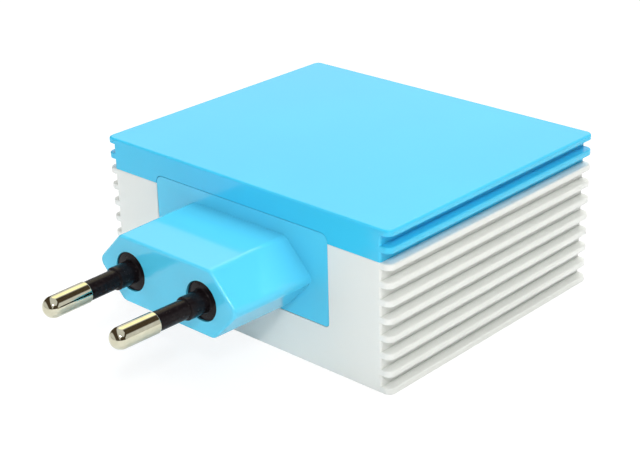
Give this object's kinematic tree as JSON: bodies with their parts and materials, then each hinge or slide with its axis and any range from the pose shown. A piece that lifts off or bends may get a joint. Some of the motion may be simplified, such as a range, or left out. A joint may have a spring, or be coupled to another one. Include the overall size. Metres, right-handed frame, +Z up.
{
  "type": "multi-port usb wall charger",
  "caption": "Box-shaped USB wall charger with ribbed sides, two-tone case, a two-pin plug on one face and a row of USB sockets on the opposite one.",
  "frame": {"origin": "centre of the underside of the case body, the plug left out, at the level of its lowest fin", "axes": "+Z up towards the blue cover, -Y out of the plug face along the pins, +Y towards the USB sockets, X across the width, through the finned sides"},
  "size_m": [0.073, 0.1001, 0.0316],
  "materials": {
    "case_white": "smooth moulded white, soft sheen",
    "cover_blue": "smooth glossy light blue",
    "plug_blue": "smooth glossy light blue",
    "sleeve_black": "glossy black insulation",
    "pin_nickel": "polished nickel plate with a warm tint",
    "brass": "bright stamped brass",
    "board_green": "solder mask over glass laminate",
    "shell_steel": "nickel plated sheet",
    "tongue_white": "moulded white insulator",
    "contact_gold": "gold flashed contact strip",
    "ferrite": "sintered dark grey ferrite",
    "bobbin": "moulded black bobbin",
    "tape": "yellow insulating tape over the winding",
    "tinned": "tinned wire",
    "can_black": "shrink sleeve over an aluminium can",
    "can_blue": "dark blue shrink sleeve over an aluminium can",
    "copper": "enamelled copper wire",
    "box_yellow": "moulded yellow box",
    "disc_blue": "dipped blue coating",
    "fuse_tan": "ceramic tube with end caps",
    "chip_black": "black moulding compound",
    "sink_alu": "folded aluminium plate",
    "screw_steel": "zinc plated steel"
  },
  "bodies": {
    "root": {"lower_case": "case_white", "top_cover": "cover_blue", "plug_panel": "plug_blue", "pin_holder_left": "sleeve_black", "pin_holder_right": "sleeve_black", "plug_pin_left": "pin_nickel", "plug_pin_right": "pin_nickel", "contact_blade_left": "brass", "contact_blade_right": "brass", "main_board": "board_green", "port_board": "board_green", "usb_shell_1": "shell_steel", "usb_shell_2": "shell_steel", "usb_shell_3": "shell_steel", "usb_shell_4": "shell_steel", "usb_tongue_1": "tongue_white", "usb_tongue_2": "tongue_white", "usb_tongue_3": "tongue_white", "usb_tongue_4": "tongue_white", "usb_contacts_1": "contact_gold", "usb_contacts_2": "contact_gold", "usb_contacts_3": "contact_gold", "usb_contacts_4": "contact_gold", "transformer_core_front": "ferrite", "transformer_core_rear": "ferrite", "transformer_bobbin": "bobbin", "transformer_winding": "tape", "transformer_pins": "tinned", "bulk_capacitor_1": "can_black", "bulk_capacitor_2": "can_black", "output_capacitor_1": "can_blue", "output_capacitor_2": "can_blue", "output_capacitor_3": "can_blue", "choke_core": "ferrite", "choke_winding_left": "copper", "choke_winding_right": "copper", "filter_capacitor": "box_yellow", "safety_capacitor": "disc_blue", "fuse": "fuse_tan", "varistor": "disc_blue", "bridge_rectifier": "chip_black", "optocoupler": "chip_black", "controller_chip": "chip_black", "port_chip_left": "chip_black", "port_chip_right": "chip_black", "primary_heat_sink": "sink_alu", "secondary_heat_sink": "sink_alu", "power_transistor": "chip_black", "output_rectifier": "chip_black", "heat_sink_screws": "screw_steel"}
  },
  "joints": []
}
